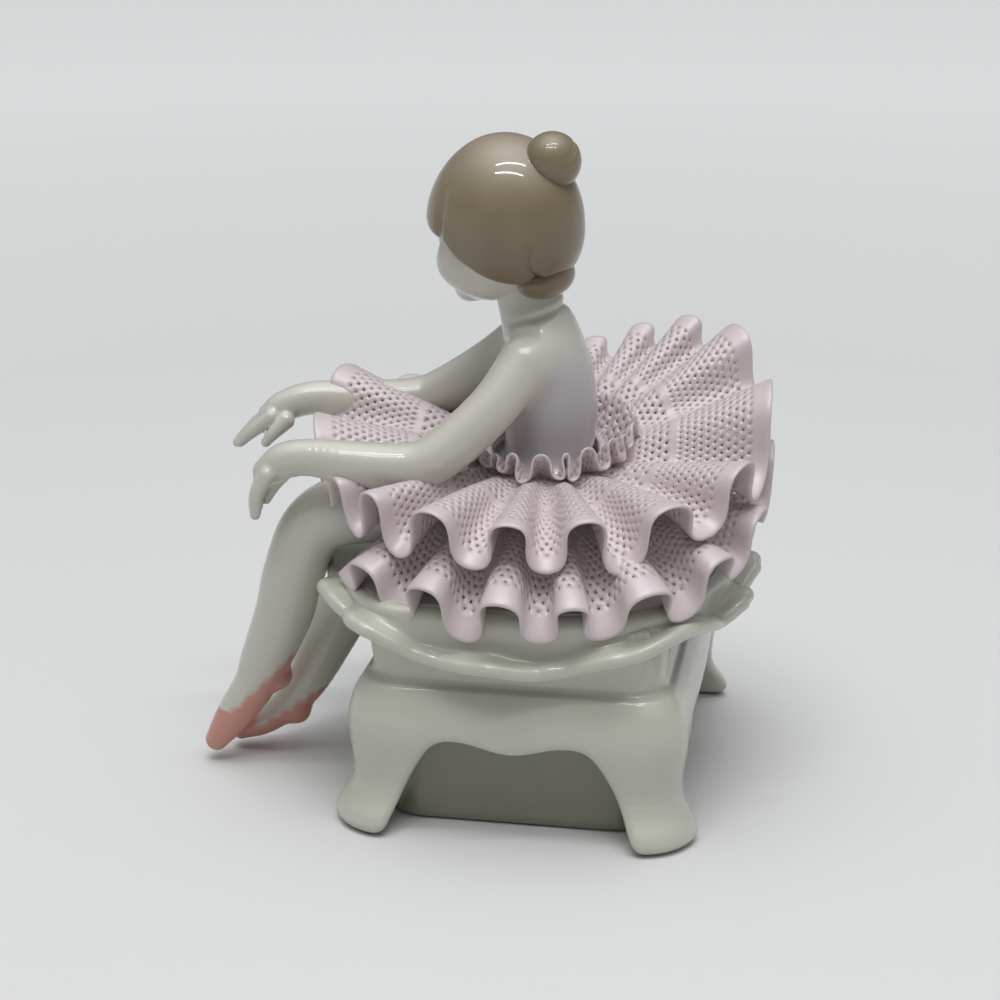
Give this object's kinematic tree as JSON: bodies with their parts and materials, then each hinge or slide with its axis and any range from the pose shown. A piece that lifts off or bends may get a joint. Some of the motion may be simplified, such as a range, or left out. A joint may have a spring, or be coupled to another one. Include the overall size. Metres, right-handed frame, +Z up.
{
  "type": "seated dancer figurine",
  "caption": "Glazed porcelain seated ballerina in a ruffled lace tutu, on a low four-legged stool; a free-standing shelf ornament.",
  "frame": {"origin": "centre of the bounding box, on the ground under the stool's feet", "axes": "+Z up, the sitter faces -X, the sitter's left side faces -Y"},
  "size_m": [0.1142, 0.0932, 0.1321],
  "materials": {
    "glaze_white": "clear gloss glaze over greenish grey-white porcelain",
    "skin_glaze": "clear gloss glaze over warm white porcelain, slippers and features painted under the glaze",
    "bodice_glaze": "clear gloss glaze over lilac-grey tint",
    "hair_glaze": "clear gloss glaze over brown taupe",
    "lace_pink": "thin satin glaze over pink-tinted porcelain lace"
  },
  "bodies": {
    "root": {"stool_frame": "glaze_white", "seat_cushion": "glaze_white", "seat_drape": "glaze_white", "torso": "bodice_glaze", "head": "skin_glaze", "left_arm": "skin_glaze", "right_arm": "skin_glaze", "left_leg": "skin_glaze", "right_leg": "skin_glaze", "hair_cap": "hair_glaze", "hair_bun": "hair_glaze", "nape_hair": "hair_glaze", "tutu_upper_front": "lace_pink", "tutu_upper_left": "lace_pink", "tutu_upper_back": "lace_pink", "tutu_upper_right": "lace_pink", "tutu_lower_left": "lace_pink", "tutu_lower_back": "lace_pink", "tutu_lower_right": "lace_pink", "waist_frill": "lace_pink"}
  },
  "joints": []
}
